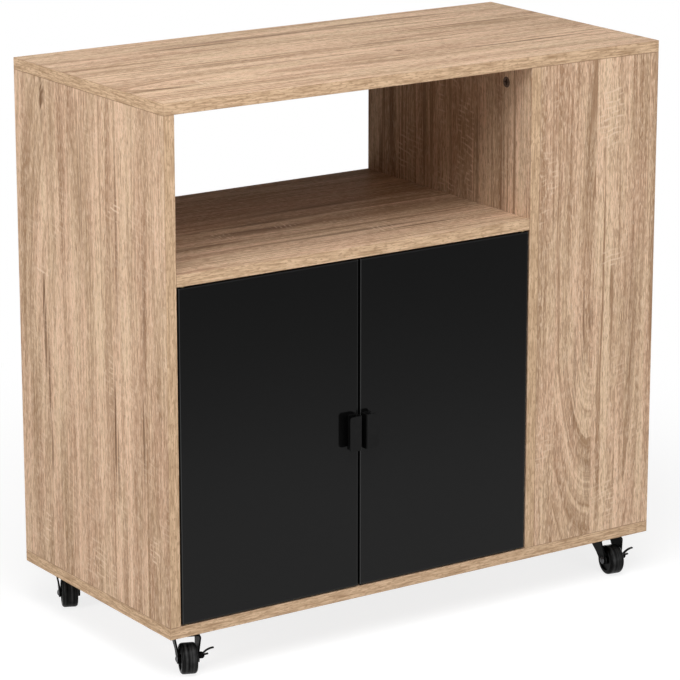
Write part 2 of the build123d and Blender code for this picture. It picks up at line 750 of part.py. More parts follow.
# Casters: what swivels, rolls and locks
leg_inner = wheel_width / 2 + fork_side_gap
leg_outer = leg_inner + fork_sheet
leg_middle = leg_inner + fork_sheet / 2
hub_half = leg_inner - hub_play
leg_foot = wheel_radius - fork_boss_radius
leg_knee = wheel_radius + fork_upright
crown_middle = crown_top - fork_sheet / 2
crown_half = leg_outer + fork_lean
lever_axle = leg_outer + lever_standoff
lever_level = wheel_radius + lever_rise
lever_half = lever_width / 2
ear_offset = lever_half + lever_play
for (name, side, end, heading, braked), base in zip(casters, caster_planes):
    hub_centre = spot(base, 0, -trail, wheel_radius)
    section_plane = Plane(origin=hub_centre, x_dir=base.x_dir, z_dir=-base.y_dir)
    brake_pin_start = spot(base, lever_axle, ear_offset + ear_thickness - trail, lever_level)
    brake_pin_length = 2 * (ear_offset + ear_thickness)

    with BuildPart() as fork:
        with BuildSketch(facing(base, fork_rear)):
            with BuildLine():
                FilletPolyline(
                    (-leg_middle, leg_foot),
                    (-leg_middle, leg_knee),
                    (-leg_middle - fork_lean, crown_middle),
                    (leg_middle + fork_lean, crown_middle),
                    (leg_middle, leg_knee),
                    (leg_middle, leg_foot),
                    radius=fork_bend,
                )
            trace(line_width=fork_sheet)
        extrude(amount=fork_rear + trail + fork_boss_radius)
        with BuildSketch(across(base, -crown_half)):
            with Locations((-fork_front, crown_top)):
                skirt_align = (Align.MIN, Align.MAX)
                Rectangle(fork_front + fork_rear, fork_skirt, align=skirt_align)
            with Locations((-trail, wheel_radius)):
                Circle(fork_boss_radius)
            make_hull()
        extrude(amount=2 * crown_half, mode=Mode.INTERSECT)
        if braked:
            for start in (ear_offset - trail + ear_thickness, -ear_offset - trail):
                with BuildSketch(facing(base, start)):
                    with Locations((leg_outer - fork_sheet / 2, lever_level)):
                        ear_align = (Align.MIN, Align.CENTER)
                        Rectangle(lever_standoff + fork_sheet / 2, ear_height, align=ear_align)
                    with Locations((lever_axle, lever_level)):
                        Circle(ear_height / 2)
                extrude(amount=ear_thickness)
        drill(
            [spot(base, -leg_outer, -trail, wheel_radius)],
            base.x_dir,
            axle_diameter / 2 + axle_fit,
            2 * leg_outer,
        )
        drill(
            [spot(base, 0, 0, crown_under)],
            UP,
            kingpin_diameter / 2 + running_fit,
            fork_sheet,
        )
        if braked:
            drill(
                [brake_pin_start],
                -base.y_dir,
                brake_pin_diameter / 2 + axle_fit,
                brake_pin_length,
            )
    fork.part.label = f"{name}_fork"
    export_step(fork.part, f"parts/{name}_fork.step")

    with BuildPart() as axle:
        with BuildSketch(section_plane):
            with BuildLine():
                shank = axle_diameter / 2
                dome_top = (-leg_outer - axle_head_height, 0)
                dome_rim = (-leg_outer, axle_head_diameter / 2)
                TangentArc(dome_top, dome_rim, tangent=(0, 1))
                Polyline(dome_rim, (-leg_outer, shank), (leg_outer, shank), (leg_outer, 0), dome_top)
            make_face()
        revolve(axis=Axis(hub_centre, base.x_dir))
    axle.part.label = f"{name}_axle"
    export_step(axle.part, f"parts/{name}_axle.step")

    with BuildPart() as wheel:
        half = wheel_width / 2
        dish = half - wheel_dish_depth
        hub = hub_diameter / 2
        rim = wheel_dish_diameter / 2
        bore = axle_diameter / 2 + running_fit
        with BuildSketch(section_plane) as section:
            with BuildLine():
                Polyline(
                    (-hub_half, bore),
                    (hub_half, bore),
                    (hub_half, hub),
                    (dish, hub),
                    (dish, rim),
                    (half, rim),
                    (half, wheel_radius),
                    (-half, wheel_radius),
                    (-half, rim),
                    (-dish, rim),
                    (-dish, hub),
                    (-hub_half, hub),
                    close=True,
                )
            make_face()
            fillet(section.vertices().group_by(Axis.Y)[-1], wheel_shoulder)
        revolve(axis=Axis(hub_centre, base.x_dir))
    wheel.part.label = f"{name}_wheel"
    export_step(wheel.part, f"parts/{name}_wheel.step")

    if braked:
        with BuildPart() as lever:
            with BuildSketch(facing(base, lever_half - trail)):
                with Locations((lever_axle, lever_level)):
                    Circle(lever_hub_diameter / 2)
                with BuildLine():
                    prong_tip = (lever_axle + lever_reach, lever_level + lever_lift)
                    prong_bow = (
                        lever_axle + lever_reach / 2 - lever_bow / 2,
                        lever_level + lever_lift / 2 + lever_bow,
                    )
                    ThreePointArc((lever_axle, lever_level), prong_bow, prong_tip)
                trace(line_width=lever_sheet)
                with BuildLine():
                    toe_tip = (lever_axle + lever_toe_reach, lever_level + lever_toe_lift)
                    Line((lever_axle, lever_level), toe_tip)
                trace(line_width=lever_sheet)
            extrude(amount=lever_width)
            drill(
                [brake_pin_start],
                -base.y_dir,
                brake_pin_diameter / 2 + running_fit,
                brake_pin_length,
            )
        lever.part.label = f"{name}_brake_lever"
        export_step(lever.part, f"parts/{name}_brake_lever.step")

        with BuildPart() as brake_pin:
            rod([brake_pin_start], -base.y_dir, brake_pin_diameter / 2, brake_pin_length)
        brake_pin.part.label = f"{name}_brake_pin"
        export_step(brake_pin.part, f"parts/{name}_brake_pin.step")
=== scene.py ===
import json
import math
from typing import NamedTuple

import bpy
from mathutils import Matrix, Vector


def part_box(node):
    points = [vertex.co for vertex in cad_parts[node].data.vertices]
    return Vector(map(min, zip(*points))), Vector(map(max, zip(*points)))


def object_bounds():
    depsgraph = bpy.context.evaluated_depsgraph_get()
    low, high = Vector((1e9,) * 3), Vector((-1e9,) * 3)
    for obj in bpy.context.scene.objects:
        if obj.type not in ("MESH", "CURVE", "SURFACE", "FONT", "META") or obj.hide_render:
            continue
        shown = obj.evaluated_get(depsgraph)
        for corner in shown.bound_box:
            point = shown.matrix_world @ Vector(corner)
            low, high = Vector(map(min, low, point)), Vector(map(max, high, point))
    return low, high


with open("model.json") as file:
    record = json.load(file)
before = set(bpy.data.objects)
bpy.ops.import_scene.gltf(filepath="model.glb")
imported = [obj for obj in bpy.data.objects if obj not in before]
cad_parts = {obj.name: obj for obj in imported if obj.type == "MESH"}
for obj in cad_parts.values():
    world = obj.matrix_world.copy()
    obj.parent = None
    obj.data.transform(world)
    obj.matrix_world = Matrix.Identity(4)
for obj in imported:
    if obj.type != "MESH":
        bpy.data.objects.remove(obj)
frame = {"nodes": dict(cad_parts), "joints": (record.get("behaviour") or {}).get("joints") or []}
cad_low, cad_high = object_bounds()

# Kitchen trolley: oak-decor boards, satin black doors and black casters, on a white floor.
# Places are in metres, and the grain's sizes in millimetres.

MM = 1000.0
AXES = "XYZ"

# Camera, at the photograph's angle
CAMERA_PLACE = (-2.507, -3.686, 1.585)
CAMERA_AZIMUTH = 34.16
CAMERA_DOWN = 15.32
CAMERA_LENS = 175.6
CAMERA_SENSOR = 36.0

# Lamps: name, azimuth, elevation, distance, width, height and power
LAMPS = (
    ("front_softbox", 5.0, 1.0, 3.2, 1.7, 0.7, 47.0),
    ("left_softbox", -85.5, 10.0, 3.0, 0.9, 1.6, 49.0),
    ("back_softbox", 120.0, 2.0, 3.2, 1.7, 0.6, 28.0),
    ("top_softbox", -32.0, 63.0, 2.6, 1.8, 2.4, 70.0),
)

# Floor and backdrop: greys, the reach of the shadow and of the fade in reflections
FLOOR_HALF = 6.0
FLOOR_GREY = 0.45
SHADOW_GREY = 0.27
SHADOW_GLOW = 0.80
SHADOW_NEAR = 0.6
SHADOW_FAR = 1.3
FADE_NEAR = 0.5
FADE_FAR = 2.2
FADE_DEPTH = 0.4
WORLD_FILL = 0.05

# Colours, linear
OAK_LIGHT = (0.735, 0.530, 0.372)
OAK_MIDDLE = (0.552, 0.378, 0.257)
OAK_DARK = (0.350, 0.216, 0.132)
OAK_MARK = (0.205, 0.118, 0.069)
OAK_PALE = (0.760, 0.575, 0.425)
OAK_PINK = (1.02, 0.985, 0.98)
OAK_YELLOW = (0.985, 1.0, 0.97)
BAND_LIGHT = (0.655, 0.462, 0.304)
BAND_DARK = (0.350, 0.222, 0.128)
BEECH_DARK = (0.52, 0.35, 0.20)
BEECH_LIGHT = (0.68, 0.49, 0.31)

# Most of a noise lies between these values
NOISE_LOW = 0.3
NOISE_HIGH = 0.7

# A rounded edge, told by the largest part of its normal
EDGE_ROUND = 0.90
EDGE_FLAT = 0.99


class Shader:
    """A material's node tree, with one short method for each kind of node."""

    def __init__(self, name):
        self.material = bpy.data.materials.new(name)
        self.material.use_nodes = True
        self.tree = self.material.node_tree
        self.tree.nodes.clear()

    def node(self, kind, inputs, **settings):
        made = self.tree.nodes.new("ShaderNode" + kind)
        for key, value in settings.items():
            setattr(made, key, value)
        for key, value in inputs.items():
            if isinstance(value, bpy.types.NodeSocket):
                self.tree.links.new(value, made.inputs[key])
            else:
                made.inputs[key].default_value = value
        return made

    def math(self, operation, first, second=0.0, clamp=False):
        made = self.node("Math", {0: first, 1: second}, operation=operation, use_clamp=clamp)
        return made.outputs[0]

    def total(self, *values):
        result = values[0]
        for value in values[1:]:
            result = self.math("ADD", result, value)
        return result

    def scaled(self, value, factor, offset=0.0):
        made = self.node("Math", {0: value, 1: factor, 2: offset}, operation="MULTIPLY_ADD")
        return made.outputs[0]

    def about(self, value, spread):
        """A value from 0 to 1, laid out about zero over that spread."""
        return self.scaled(value, spread, -spread / 2)

    def vector(self, x=0.0, y=0.0, z=0.0):
        return self.node("CombineXYZ", {0: x, 1: y, 2: z}).outputs[0]

    def vector_math(self, operation, first, second=(0.0, 0.0, 0.0), output="Vector"):
        made = self.node("VectorMath", {0: first, 1: second}, operation=operation)
        return made.outputs[output]

    def split(self, vector):
        return self.node("SeparateXYZ", {0: vector}).outputs

    def coordinate(self, name):
        return self.node("TexCoord", {}).outputs[name]

    def noise(self, vector, detail=2.0, roughness=0.5, scale=1.0):
        inputs = {"Vector": vector, "Scale": scale, "Detail": detail, "Roughness": roughness}
        return self.node("TexNoise", inputs).outputs[0]

    def rise(self, value, low, high, start=0.0, end=1.0):
        """A smooth step from start to end as the value goes from low to high."""
        inputs = {"Value": value, "From Min": low, "From Max": high, "To Min": start, "To Max": end}
        return self.node("MapRange", inputs, interpolation_type="SMOOTHSTEP").outputs[0]

    def ramp(self, value, stops, interpolation="LINEAR"):
        made = self.node("ValToRGB", {0: value})
        ramp = made.color_ramp
        ramp.interpolation = interpolation
        ramp.elements.remove(ramp.elements[1])
        ramp.elements[0].position = stops[0][0]
        ramp.elements[0].color = (*stops[0][1], 1.0)
        for position, colour in stops[1:]:
            ramp.elements.new(position).color = (*colour, 1.0)
        return made.outputs[0]

    def mix(self, factor, first, second, blend="MIX"):
        made = self.node("Mix", {0: factor}, data_type="RGBA", blend_type=blend)
        for socket, value in ((made.inputs[6], first), (made.inputs[7], second)):
            if isinstance(value, bpy.types.NodeSocket):
                self.tree.links.new(value, socket)
            else:
                socket.default_value = (*value, 1.0)
        return made.outputs[2]

    def bump(self, height, depth, strength):
        inputs = {"Height": height, "Distance": depth, "Strength": strength}
        return self.node("Bump", inputs).outputs[0]

    def arris(self):
        """1 on the rounded edges between flat faces that lie along the axes, and 0 on the faces."""
        x, y, z = [self.math("ABSOLUTE", part) for part in self.split(self.coordinate("Normal"))]
        flattest = self.math("MAXIMUM", x, self.math("MAXIMUM", y, z))
        return self.rise(flattest, EDGE_ROUND, EDGE_FLAT, 1.0, 0.0)

    def finish(self, **inputs):
        """End the tree in a principled surface, with the inputs named in words."""
        named = {key.replace("_", " ").title(): value for key, value in inputs.items()}
        if "Specular Level" in named:
            named["Specular IOR Level"] = named.pop("Specular Level")
        surface = self.node("BsdfPrincipled", named)
        output = self.node("OutputMaterial", {"Surface": surface.outputs[0]})
        output.is_active_output = True
        return self.material


def grey(level):
    return (level, level, level)


def dress(material, *nodes):
    """Give CAD nodes a material, in place of the one that they came with."""
    for name in nodes:
        slots = frame["nodes"][name].data.materials
        slots.clear()
        slots.append(material)


# Oak decor. Each board is laid out in planks across its grain. A plank's rings run round a
# heart line, so lines near it close into a crown and lines far from it run straight.


class Layer(NamedTuple):
    """A noise drawn out along the grain.

    It has the size of its features in millimetres, a shift that sets its pattern apart, the
    noise's detail and roughness, and the values between which it goes from 0 to 1.
    """

    width: float
    length: float
    shift: float = 0.0
    detail: float = 1.0
    roughness: float = 0.5
    low: float = 0.0
    high: float = 1.0


SLOW_WAVER = Layer(60.0, 320.0, detail=2.0)
QUICK_WAVER = Layer(9.0, 60.0)
STREAK = Layer(26.0, 420.0, detail=3.0)
FINE = Layer(2.6, 260.0, shift=9.0, detail=3.0, roughness=0.62)
CLUSTER = Layer(11.0, 90.0, shift=6.0, low=0.42, high=0.62)
DASH = Layer(2.2, 17.0, low=0.55, high=0.62)
SPECK = Layer(1.4, 14.0, detail=2.0, roughness=0.6)
PORE = Layer(0.8, 9.0, low=0.57, high=0.64)
GLINT = Layer(1.3, 11.0, shift=12.0, low=0.55, high=0.63)
VEIN = Layer(6.5, 420.0, shift=3.0, detail=3.0, roughness=0.6, low=0.55, high=0.68)
TINT = Layer(26.0, 190.0, shift=2.0, detail=2.0, low=0.36, high=0.64)
PATCH = Layer(40.0, 75.0, shift=4.0, low=0.50, high=0.66)
SWAY = Layer(24.0, 30.0)
BREAK = Layer(10.0, 7.0, shift=8.0, low=0.40, high=0.58)
BAND = Layer(2.6, 40.0, shift=3.0, detail=5.0, roughness=0.65)
BAND_DASH = Layer(1.8, 8.0, shift=6.0, low=0.55, high=0.63)

# The spans that a plank's values are packed into, and the pattern that each plank draws
HEART_SPAN = 2000.0
CROWN_SPAN = 4000.0
TAPER_SPAN = 1.0
CHANCE_SEED = 7.1
CHANCE_PLANK = 12.9898
CHANCE_SPREAD = 437.58
DRAW_SPREAD = 31.0
BACK_SHIFT = 5.0

# Rings: how far they waver in millimetres, and how slowly they open past the crown
SLOW_REACH = 9.0
QUICK_REACH = 1.6
OPEN_TAPER = 0.15

# Lightness of the wood: what each layer adds to it, and the colours that it stands for
LEVEL_MIDDLE = 0.515
FINE_SHARE = 0.85
STREAK_SHARE = 0.9
SPECK_SHARE = 0.6
TONE_SHARE = 0.45
OAK_RAMP = ((0.28, OAK_DARK), (0.48, OAK_MIDDLE), (0.68, OAK_LIGHT))
BAND_RAMP = ((0.34, BAND_DARK), (0.60, BAND_LIGHT))

# How strongly each kind of line and spot shows
CLUSTER_LEAST = 0.25
GLINT_SHARE = 0.55
DASH_SHARE = 0.55
PORE_SHARE = 0.5
FLECK_SHARE = 0.7
BAND_DASH_SHARE = 0.65
ARRIS_SHARE = 0.55
VEIN_SHARE = 0.42

# Dark streaks and light flecks at chosen places
MARK_CORE = 0.3
MARK_OUT = 0.66
MARK_IN = 0.44
MARK_LEAST = 0.2
TICK_CORE = 0.5
FLECK_PITCH = 7.5
FLECK_LEAN = 0.15
FLECK_SWAY = 7.0
FLECK_TOP = 0.95

# Surface of the boards
ON_FACE = 0.5
OAK_ROUGH = 0.56
OAK_SMOOTH = 0.44
OAK_SPECULAR = 0.004
OAK_RELIEF = 0.5
OAK_DEPTH = 0.00012
OAK_BUMP = 0.6


def grain_noise(s, layer, sideways, along, draw):
    place = s.vector(
        s.scaled(sideways, 1 / layer.width),
        s.scaled(along, 1 / layer.length),
        s.math("ADD", draw, layer.shift),
    )
    return s.noise(place, layer.detail, layer.roughness)


def at_places(s, spot, places, core):
    """The strength of the oval places at a spot, full within the core's share of their size."""
    amount = 0.0
    for place_across, place_along, half_width, half_length, strength in places:
        offset = s.vector_math("SUBTRACT", spot, (place_across, place_along, 0.0))
        shrunk = s.vector_math("MULTIPLY", offset, (1 / half_width, 1 / half_length, 0.0))
        reach = s.vector_math("LENGTH", shrunk, output="Value")
        amount = s.math("ADD", amount, s.rise(reach, core, 1.0, strength, 0.0))
    return amount


def oak(node, normal, grain, planks, seed, marks=(), ticks=(), veins=VEIN_SHARE, streaks=STREAK.width):
    """Oak decor for a board: the axis across its faces, the axis of its grain, and its planks.

    A plank is (width, tone, flecks, heart, crown, taper): millimetres across the grain from the
    board's low edge, a lightness from 0 to 1, the share of light flecks, and the ring centre's
    place across and along the grain. A positive taper closes the rings towards the low end, and
    a negative one towards the high end. A mark is a dark streak and a tick a patch of flecks:
    (across, along, half width, half length, strength). Veins are the strength of the dark lines
    along the rings, and streaks the width of the light and dark bands.
    """
    s = Shader("oak_" + node)
    across_axis = next(axis for axis in AXES if axis not in (normal, grain))
    low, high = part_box(node)
    place = s.split(s.coordinate("Object"))
    facing = s.split(s.coordinate("Normal"))

    def along_axis(axis):
        index = AXES.index(axis)
        return s.scaled(place[index], MM, -low[index] * MM)

    def turned_to(axis):
        return s.math("ABSOLUTE", facing[AXES.index(axis)])

    along = along_axis(grain)
    across = along_axis(across_axis)
    through = along_axis(normal)
    width = (high - low)[AXES.index(across_axis)] * MM

    # What a plank is, looked up by the place across the grain
    start = 0.0
    shapes = []
    tones = []
    for index, (plank_width, tone, flecks, heart, crown, taper) in enumerate(planks):
        shape = (heart / HEART_SPAN + 0.5, crown / CROWN_SPAN + 0.5, taper / TAPER_SPAN + 0.5)
        turn = seed * CHANCE_SEED + index * CHANCE_PLANK
        chance = math.modf(abs(math.sin(turn) * CHANCE_SPREAD))[0]
        shapes.append((start / width, shape))
        tones.append((start / width, (tone, flecks, chance)))
        start += plank_width
    share = s.math("DIVIDE", across, width)
    shape = s.split(s.ramp(share, shapes, "CONSTANT"))
    tone, flecks, chance = s.split(s.ramp(share, tones, "CONSTANT"))
    heart = s.about(shape[0], HEART_SPAN)
    crown = s.about(shape[1], CROWN_SPAN)
    taper = s.about(shape[2], TAPER_SPAN)
    back_face = s.math("GREATER_THAN", facing[AXES.index(normal)], 0.0)
    draw = s.total(s.scaled(chance, DRAW_SPREAD, seed), s.scaled(back_face, BACK_SHIFT))

    def field(layer, sideways):
        return grain_noise(s, layer, sideways, along, draw)

    def stepped(layer, sideways):
        return s.rise(field(layer, sideways), layer.low, layer.high)

    # Rings about the heart, made a little uneven
    waver = s.total(
        s.about(field(SLOW_WAVER, across), SLOW_REACH),
        s.about(field(QUICK_WAVER, across), QUICK_REACH),
    )
    off_heart = s.math("SUBTRACT", across, heart)
    off_crown = s.math("MULTIPLY", s.math("SUBTRACT", along, crown), taper)
    closing = s.math("MINIMUM", off_crown, 0.0)
    opening = s.scaled(s.math("MAXIMUM", off_crown, 0.0), OPEN_TAPER)
    off_crown = s.math("ADD", closing, opening)
    square = s.total(s.math("POWER", off_heart, 2.0), s.math("POWER", off_crown, 2.0))
    ring = s.math("ADD", s.math("SQRT", square), waver)
    wavered = s.math("ADD", across, waver)

    # Streaks and fine lines along the rings, and pores as short crisp dashes
    streak = field(STREAK._replace(width=streaks), ring)
    fine = field(FINE, ring)
    cluster = s.scaled(stepped(CLUSTER, ring), 1 - CLUSTER_LEAST, CLUSTER_LEAST)
    dashes = s.math("MULTIPLY", stepped(DASH, wavered), cluster)
    speck = field(SPECK, wavered)
    pore = stepped(PORE, wavered)
    glint = stepped(GLINT, wavered)
    vein = stepped(VEIN, ring)
    tint = stepped(TINT, wavered)

    # Light flecks: soft bars across the grain, in patches
    spot = s.vector(wavered, along)
    patch = s.math("MULTIPLY", stepped(PATCH, across), flecks)
    if ticks:
        patch = s.math("ADD", patch, at_places(s, spot, ticks, TICK_CORE), clamp=True)
    sway = s.scaled(field(SWAY, across), FLECK_SWAY)
    bar = s.total(s.scaled(along, math.tau / FLECK_PITCH), s.scaled(across, -FLECK_LEAN), sway)
    bar = s.rise(s.math("SINE", bar), 0.0, FLECK_TOP)
    fleck = s.math("MULTIPLY", s.math("MULTIPLY", bar, stepped(BREAK, across)), patch)

    level = s.total(
        s.about(fine, FINE_SHARE),
        s.about(streak, STREAK_SHARE),
        s.about(speck, SPECK_SHARE),
        s.about(tone, TONE_SHARE),
        LEVEL_MIDDLE,
    )
    wood = s.ramp(level, OAK_RAMP)
    pink = s.mix(1.0, wood, OAK_PINK, "MULTIPLY")
    yellow = s.mix(1.0, wood, OAK_YELLOW, "MULTIPLY")
    wood = s.mix(tint, pink, yellow)
    lines = (
        (glint, GLINT_SHARE, OAK_PALE),
        (vein, veins, OAK_DARK),
        (dashes, DASH_SHARE, OAK_DARK),
        (pore, PORE_SHARE, OAK_MARK),
    )
    for line, strength, line_colour in lines:
        wood = s.mix(s.math("MULTIPLY", line, strength), wood, line_colour)
    if marks:
        inside = s.scaled(s.rise(fine, MARK_OUT, MARK_IN), 1 - MARK_LEAST, MARK_LEAST)
        dark = s.math("MULTIPLY", at_places(s, spot, marks, MARK_CORE), inside, clamp=True)
        wood = s.mix(dark, wood, OAK_MARK)
    wood = s.mix(s.math("MULTIPLY", fleck, FLECK_SHARE), wood, OAK_PALE)

    # Edge bands, with their grain along the edge
    side_edge = s.math("GREATER_THAN", turned_to(across_axis), turned_to(grain))
    run = s.total(
        s.math("MULTIPLY", side_edge, along),
        s.math("MULTIPLY", s.math("SUBTRACT", 1.0, side_edge), across),
    )
    band = s.ramp(grain_noise(s, BAND, through, run, seed), BAND_RAMP)
    dash = s.rise(grain_noise(s, BAND_DASH, through, run, seed), BAND_DASH.low, BAND_DASH.high)
    band = s.mix(s.math("MULTIPLY", dash, BAND_DASH_SHARE), band, BAND_DARK)
    on_face = s.math("GREATER_THAN", turned_to(normal), ON_FACE)
    colour = s.mix(on_face, band, wood)

    # The rounded arris shows the thin dark line between face and band
    colour = s.mix(s.math("MULTIPLY", s.arris(), ARRIS_SHARE), colour, OAK_MARK)
    height = s.total(
        s.scaled(pore, -OAK_RELIEF),
        s.scaled(dashes, -OAK_RELIEF),
        s.scaled(fine, OAK_RELIEF),
    )
    return s.finish(
        base_color=colour,
        roughness=s.rise(fine, NOISE_LOW, NOISE_HIGH, OAK_ROUGH, OAK_SMOOTH),
        specular_level=OAK_SPECULAR,
        normal=s.bump(height, OAK_DEPTH, OAK_BUMP),
    )


# Planks, marks and ticks of the boards
SIDE_PLANKS = (
    (48.0, 0.47, 0.4, -500.0, 300.0, 0.03),
    (6.0, 0.20, 0.2, -500.0, 300.0, 0.03),
    (82.0, 0.55, 0.3, 600.0, 300.0, 0.03),
    (12.0, 0.20, 0.6, 600.0, 300.0, 0.03),
    (158.0, 0.52, 0.3, -500.0, 300.0, 0.03),
    (82.0, 0.50, 0.3, 300.0, 80.0, -0.10),
)
SIDE_MARKS = (
    (318.0, 345.0, 6.0, 95.0, 1.3),
    (309.0, 270.0, 5.0, 80.0, 0.9),
    (305.0, 165.0, 6.0, 45.0, 0.7),
    (313.0, 690.0, 11.0, 68.0, 0.9),
    (316.0, 655.0, 4.0, 50.0, 1.1),
    (132.0, 250.0, 4.0, 110.0, 1.2),
    (125.0, 190.0, 4.0, 80.0, 0.8),
    (122.0, 500.0, 6.0, 230.0, 0.5),
    (59.0, 245.0, 4.0, 80.0, 1.1),
    (56.0, 420.0, 5.0, 130.0, 0.6),
    (215.0, 560.0, 7.0, 140.0, 0.45),
)
SIDE_TICKS = (
    (122.0, 536.0, 22.0, 20.0, 0.9),
    (318.0, 416.0, 30.0, 8.0, 1.0),
    (325.0, 57.0, 15.0, 36.0, 0.9),
    (187.0, 40.0, 36.0, 40.0, 0.6),
    (37.0, 97.0, 15.0, 26.0, 0.9),
)
TOP_PLANKS = (
    (75.0, 0.58, 0.4, -400.0, 300.0, 0.03),
    (100.0, 0.56, 0.2, 101.0, 330.0, 0.12),
    (166.0, 0.60, 0.2, 700.0, 300.0, 0.03),
    (47.0, 0.60, 0.3, 341.0, 300.0, 0.06),
)
TOP_MARKS = (
    (334.0, 330.0, 11.0, 240.0, 1.0),
    (318.0, 250.0, 7.0, 120.0, 0.8),
    (345.0, 560.0, 8.0, 160.0, 0.7),
    (263.0, 690.0, 5.0, 110.0, 0.55),
    (190.0, 200.0, 5.0, 170.0, 0.9),
    (200.0, 480.0, 7.0, 70.0, 0.7),
    (157.0, 300.0, 5.0, 150.0, 0.6),
    (138.0, 457.0, 6.0, 9.0, 0.90),
    (103.0, 640.0, 5.0, 180.0, 0.8),
    (84.0, 50.0, 6.0, 90.0, 0.9),
    (84.0, 400.0, 5.0, 80.0, 0.7),
)
TOP_TICKS = (
    (93.0, 115.0, 24.0, 7.0, 1.0),
    (317.0, 428.0, 24.0, 7.0, 1.0),
    (18.0, 650.0, 14.0, 10.0, 1.0),
)
COLUMN_PLANKS = (
    (30.5, 0.45, 0.5, -400.0, 300.0, 0.03),
    (67.5, 0.38, 0.1, 98.0, 312.0, 0.27),
    (58.0, 0.70, 0.4, 500.0, 300.0, 0.03),
    (34.0, 0.44, 0.2, 156.0, 420.0, 0.05),
    (14.0, 0.55, 0.2, -400.0, 300.0, 0.03),
)
COLUMN_MARKS = (
    (93.0, 84.0, 9.0, 55.0, 0.40),
    (66.0, 230.0, 5.0, 110.0, 0.60),
    (80.0, 300.0, 4.0, 90.0, 0.60),
    (88.0, 570.0, 16.0, 150.0, 0.20),
    (93.0, 317.0, 6.0, 26.0, 0.50),
    (168.0, 300.0, 12.0, 250.0, 0.28),
)
COLUMN_TICKS = (
    (126.0, 600.0, 26.0, 60.0, 0.9),
    (128.0, 399.0, 24.0, 18.0, 0.8),
    (132.0, 47.0, 20.0, 45.0, 0.6),
)
SHELF_PLANKS = (
    (120.0, 0.46, 0.3, 400.0, 200.0, 0.03),
    (63.0, 0.36, 0.4, 183.0, 300.0, 0.08),
    (110.0, 0.28, 0.2, -500.0, 300.0, 0.03),
    (95.0, 0.24, 0.2, 600.0, 300.0, 0.03),
)
SHELF_MARKS = (
    (183.0, 240.0, 8.0, 170.0, 1.0),
    (150.0, 215.0, 15.0, 110.0, 0.8),
    (76.0, 330.0, 9.0, 170.0, 0.8),
    (58.0, 420.0, 6.0, 90.0, 0.8),
    (110.0, 90.0, 8.0, 110.0, 0.7),
    (225.0, 330.0, 9.0, 190.0, 0.8),
)
SHELF_TICKS = (
    (148.0, 162.0, 28.0, 20.0, 1.0),
    (158.0, 265.0, 17.0, 32.0, 1.0),
    (68.0, 370.0, 22.0, 27.0, 1.0),
)
DIVIDER_PLANKS = (
    (65.0, 0.55, 0.3, -400.0, 300.0, 0.03),
    (65.0, 0.46, 0.3, 500.0, 300.0, 0.03),
    (85.0, 0.50, 1.0, 700.0, 300.0, 0.03),
    (101.0, 0.45, 0.5, -300.0, 300.0, 0.03),
    (72.0, 0.52, 0.2, 700.0, 300.0, 0.03),
)
DIVIDER_MARKS = (
    (248.0, 560.0, 7.0, 120.0, 0.7),
    (185.0, 500.0, 6.0, 140.0, 0.6),
    (120.0, 560.0, 6.0, 140.0, 0.6),
    (62.0, 520.0, 7.0, 150.0, 0.5),
    (330.0, 580.0, 8.0, 110.0, 0.6),
)
DIVIDER_TICKS = (
    (150.0, 586.0, 24.0, 50.0, 1.0),
    (299.0, 513.0, 20.0, 40.0, 1.0),
    (205.0, 610.0, 12.0, 60.0, 0.8),
)
PLAIN_PLANKS = (
    (88.0, 0.50, 0.4, -400.0, 200.0, 0.03),
    (66.0, 0.45, 0.2, 154.0, 260.0, 0.22),
    (94.0, 0.57, 0.8, 700.0, 300.0, 0.03),
    (150.0, 0.48, 0.2, -300.0, 420.0, 0.03),
)

SIDE_FIGURE = {"marks": SIDE_MARKS, "ticks": SIDE_TICKS}
TOP_FIGURE = {"marks": TOP_MARKS, "ticks": TOP_TICKS, "veins": 0.9}
COLUMN_FIGURE = {"marks": COLUMN_MARKS, "ticks": COLUMN_TICKS, "veins": 1.0, "streaks": 13.0}
SHELF_FIGURE = {"marks": SHELF_MARKS, "ticks": SHELF_TICKS, "veins": 1.0}
DIVIDER_FIGURE = {"marks": DIVIDER_MARKS, "ticks": DIVIDER_TICKS, "veins": 1.0}

# Boards: node, axis across the faces, axis of the grain, planks and figure
BOARDS = (
    ("left_side_panel", "X", "Z", SIDE_PLANKS, SIDE_FIGURE),
    ("top_panel", "Z", "X", TOP_PLANKS, TOP_FIGURE),
    ("column_front_panel", "Y", "Z", COLUMN_PLANKS, COLUMN_FIGURE),
    ("middle_shelf", "Z", "X", SHELF_PLANKS, SHELF_FIGURE),
    ("divider_panel", "X", "Z", DIVIDER_PLANKS, DIVIDER_FIGURE),
    ("bottom_panel", "Z", "X", PLAIN_PLANKS, {}),
    ("column_rear_panel", "Y", "Z", COLUMN_PLANKS, {}),
    ("inner_shelf", "Z", "X", PLAIN_PLANKS, {}),
    ("end_shelf_lower", "Z", "Y", PLAIN_PLANKS, {}),
    ("end_shelf_upper", "Z", "Y", PLAIN_PLANKS, {}),
    ("cabinet_back_panel", "Y", "Z", PLAIN_PLANKS, {}),
)

for seed, (board, normal, grain, planks, figure) in enumerate(BOARDS, start=1):
    dress(oak(board, normal, grain, planks, float(seed), **figure), board)


# Other finishes. The noises' scales are per metre.
PEARL = 900.0
DOOR_CLOUD = 6.0
COAT_PEEL = 1400.0
COAT_DUST = 90.0
MOULD_FLOW = 160.0
MOULD_GRAIN = 2200.0
WHEEL_SCUFF = 130.0
METAL_CLOUD = 240.0
METAL_GRAIN = 3000.0
BEECH_FLECK = 700.0

